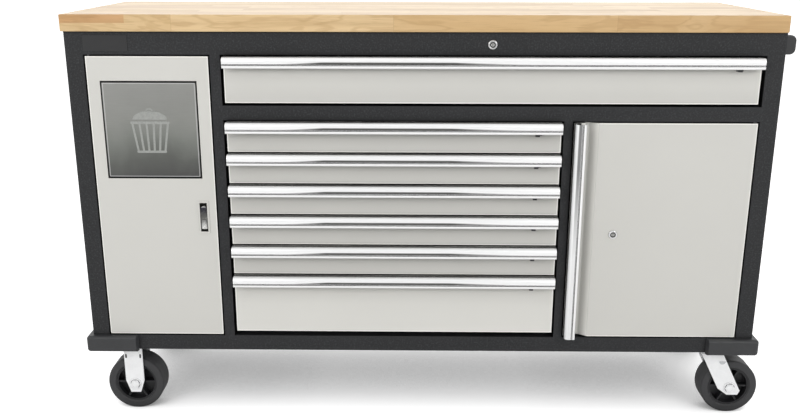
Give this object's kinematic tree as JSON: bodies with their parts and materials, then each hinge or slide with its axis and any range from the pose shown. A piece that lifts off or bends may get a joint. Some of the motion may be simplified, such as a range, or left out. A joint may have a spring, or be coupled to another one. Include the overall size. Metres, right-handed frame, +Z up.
{
  "type": "rolling tool cabinet with worktop",
  "caption": "Wide rolling steel tool cabinet with a wooden worktop, full-width and stacked drawers, a cupboard, a waste bin behind a flap door, a push handle and casters.",
  "frame": {"origin": "on the floor, under the middle of the whole object's bounding box", "axes": "+X to the right along the front, +Y from the front to the back, +Z up"},
  "size_m": [1.554, 0.486, 0.92],
  "materials": {
    "frame_paint": "dark grey powder coat with a fine wrinkle",
    "front_paint": "pale warm grey, satin",
    "pull_aluminium": "polished extrusion",
    "flap_steel": "brushed stainless steel",
    "chrome": "polished plating",
    "zinc_steel": "bright zinc plate",
    "black_plastic": "moulded, matt",
    "catch_plastic": "moulded, matt",
    "bin_plastic": "moulded, matt",
    "hub_plastic": "moulded, satin",
    "tyre_rubber": "matt rubber",
    "worktop_wood": "oiled light hardwood staves"
  },
  "bodies": {
    "root": {"side_panel_left": "frame_paint", "side_panel_right": "frame_paint", "back_panel": "frame_paint", "base_pan": "frame_paint", "top_deck": "frame_paint", "mid_deck": "frame_paint", "bay_walls": "frame_paint", "front_frame": "frame_paint", "worktop": "worktop_wood", "corner_bumpers": "black_plastic", "push_handle_bar": "frame_paint", "push_handle_brackets": "black_plastic", "slide_rails": "zinc_steel", "rigid_casters": "zinc_steel", "swivel_plates": "zinc_steel", "caster_bolts": "zinc_steel", "waste_bin": "bin_plastic", "cupboard_shelf": "frame_paint", "door_pivot_pins": "zinc_steel", "drawer_lock_barrel": "chrome"},
    "wide_drawer": {"wide_drawer_tray": "front_paint", "wide_drawer_pull": "pull_aluminium"},
    "wide_drawer_catch": {"wide_drawer_catch": "catch_plastic"},
    "drawer_1": {"drawer_1_tray": "front_paint", "drawer_1_pull": "pull_aluminium"},
    "drawer_1_catch": {"drawer_1_catch": "catch_plastic"},
    "drawer_2": {"drawer_2_tray": "front_paint", "drawer_2_pull": "pull_aluminium"},
    "drawer_2_catch": {"drawer_2_catch": "catch_plastic"},
    "drawer_3": {"drawer_3_tray": "front_paint", "drawer_3_pull": "pull_aluminium"},
    "drawer_3_catch": {"drawer_3_catch": "catch_plastic"},
    "drawer_4": {"drawer_4_tray": "front_paint", "drawer_4_pull": "pull_aluminium"},
    "drawer_4_catch": {"drawer_4_catch": "catch_plastic"},
    "drawer_5": {"drawer_5_tray": "front_paint", "drawer_5_pull": "pull_aluminium"},
    "drawer_5_catch": {"drawer_5_catch": "catch_plastic"},
    "drawer_6": {"drawer_6_tray": "front_paint", "drawer_6_pull": "pull_aluminium"},
    "drawer_6_catch": {"drawer_6_catch": "catch_plastic"},
    "bin_door": {"bin_door": "front_paint", "bin_latch_dish": "chrome"},
    "waste_flap": {"waste_flap": "flap_steel"},
    "bin_latch_lever": {"bin_latch_lever": "chrome"},
    "cupboard_door": {"cupboard_door": "front_paint", "cupboard_door_pull": "pull_aluminium", "cupboard_lock_barrel": "chrome"},
    "cupboard_lock": {"cupboard_lock_plug": "chrome"},
    "drawer_lock": {"drawer_lock_plug": "chrome"},
    "swivel_front": {"swivel_fork_front": "zinc_steel"},
    "swivel_rear": {"swivel_fork_rear": "zinc_steel"},
    "wheel_left_front": {"tyre_left_front": "tyre_rubber", "hub_left_front": "hub_plastic"},
    "wheel_right_front": {"tyre_right_front": "tyre_rubber", "hub_right_front": "hub_plastic"},
    "wheel_left_rear": {"tyre_left_rear": "tyre_rubber", "hub_left_rear": "hub_plastic"},
    "wheel_right_rear": {"tyre_right_rear": "tyre_rubber", "hub_right_rear": "hub_plastic"}
  },
  "joints": [
    {"name": "wide_drawer_slide", "type": "slide", "parent": "root", "child": "wide_drawer", "axis": [0, -1, 0], "range_m": [0, 0.3]},
    {"name": "wide_drawer_catch_slide", "type": "slide", "parent": "wide_drawer", "child": "wide_drawer_catch", "axis": [1, 0, 0], "range_m": [0, 0.008], "stiffness_N_per_m": 60},
    {"name": "drawer_1_slide", "type": "slide", "parent": "root", "child": "drawer_1", "axis": [0, -1, 0], "range_m": [0, 0.3]},
    {"name": "drawer_1_catch_slide", "type": "slide", "parent": "drawer_1", "child": "drawer_1_catch", "axis": [1, 0, 0], "range_m": [0, 0.008], "stiffness_N_per_m": 60},
    {"name": "drawer_2_slide", "type": "slide", "parent": "root", "child": "drawer_2", "axis": [0, -1, 0], "range_m": [0, 0.3]},
    {"name": "drawer_2_catch_slide", "type": "slide", "parent": "drawer_2", "child": "drawer_2_catch", "axis": [1, 0, 0], "range_m": [0, 0.008], "stiffness_N_per_m": 60},
    {"name": "drawer_3_slide", "type": "slide", "parent": "root", "child": "drawer_3", "axis": [0, -1, 0], "range_m": [0, 0.3]},
    {"name": "drawer_3_catch_slide", "type": "slide", "parent": "drawer_3", "child": "drawer_3_catch", "axis": [1, 0, 0], "range_m": [0, 0.008], "stiffness_N_per_m": 60},
    {"name": "drawer_4_slide", "type": "slide", "parent": "root", "child": "drawer_4", "axis": [0, -1, 0], "range_m": [0, 0.3]},
    {"name": "drawer_4_catch_slide", "type": "slide", "parent": "drawer_4", "child": "drawer_4_catch", "axis": [1, 0, 0], "range_m": [0, 0.008], "stiffness_N_per_m": 60},
    {"name": "drawer_5_slide", "type": "slide", "parent": "root", "child": "drawer_5", "axis": [0, -1, 0], "range_m": [0, 0.3]},
    {"name": "drawer_5_catch_slide", "type": "slide", "parent": "drawer_5", "child": "drawer_5_catch", "axis": [1, 0, 0], "range_m": [0, 0.008], "stiffness_N_per_m": 60},
    {"name": "drawer_6_slide", "type": "slide", "parent": "root", "child": "drawer_6", "axis": [0, -1, 0], "range_m": [0, 0.3]},
    {"name": "drawer_6_catch_slide", "type": "slide", "parent": "drawer_6", "child": "drawer_6_catch", "axis": [1, 0, 0], "range_m": [0, 0.008], "stiffness_N_per_m": 60},
    {"name": "bin_door_hinge", "type": "hinge", "parent": "root", "child": "bin_door", "pos_m": [-0.7165, -0.215, 0.516], "axis": [0, 0, -1], "range_deg": [0, 105]},
    {"name": "waste_flap_hinge", "type": "hinge", "parent": "bin_door", "child": "waste_flap", "pos_m": [-0.5935, -0.215, 0.753], "axis": [1, 0, 0], "range_deg": [0, 70]},
    {"name": "bin_latch_hinge", "type": "hinge", "parent": "bin_door", "child": "bin_latch_lever", "pos_m": [-0.49275, -0.215, 0.5011], "axis": [-1, 0, 0], "range_deg": [0, 35], "stiffness_Nm_per_rad": 0.06},
    {"name": "cupboard_door_hinge", "type": "hinge", "parent": "root", "child": "cupboard_door", "pos_m": [0.6905, -0.215, 0.451], "axis": [0, 0, 1], "range_deg": [0, 105]},
    {"name": "cupboard_lock_turn", "type": "hinge", "parent": "cupboard_door", "child": "cupboard_lock", "pos_m": [0.406, -0.211, 0.447], "axis": [0, -1, 0], "range_deg": [0, 90]},
    {"name": "drawer_lock_turn", "type": "hinge", "parent": "root", "child": "drawer_lock", "pos_m": [0.1305, -0.211, 0.859], "axis": [0, -1, 0], "range_deg": [0, 90]},
    {"name": "swivel_front_turn", "type": "hinge", "parent": "root", "child": "swivel_front", "pos_m": [0.6665, -0.166, 0.146], "axis": [0, 0, 1], "continuous": true},
    {"name": "swivel_rear_turn", "type": "hinge", "parent": "root", "child": "swivel_rear", "pos_m": [0.6665, 0.174, 0.146], "axis": [0, 0, 1], "continuous": true},
    {"name": "wheel_left_front_roll", "type": "hinge", "parent": "root", "child": "wheel_left_front", "pos_m": [-0.685, -0.166, 0.065], "axis": [0, 1, 0], "continuous": true},
    {"name": "wheel_right_front_roll", "type": "hinge", "parent": "swivel_front", "child": "wheel_right_front", "pos_m": [0.7085, -0.166, 0.065], "axis": [0, 1, 0], "continuous": true},
    {"name": "wheel_left_rear_roll", "type": "hinge", "parent": "root", "child": "wheel_left_rear", "pos_m": [-0.685, 0.174, 0.065], "axis": [0, 1, 0], "continuous": true},
    {"name": "wheel_right_rear_roll", "type": "hinge", "parent": "swivel_rear", "child": "wheel_right_rear", "pos_m": [0.7085, 0.174, 0.065], "axis": [0, 1, 0], "continuous": true}
  ]
}
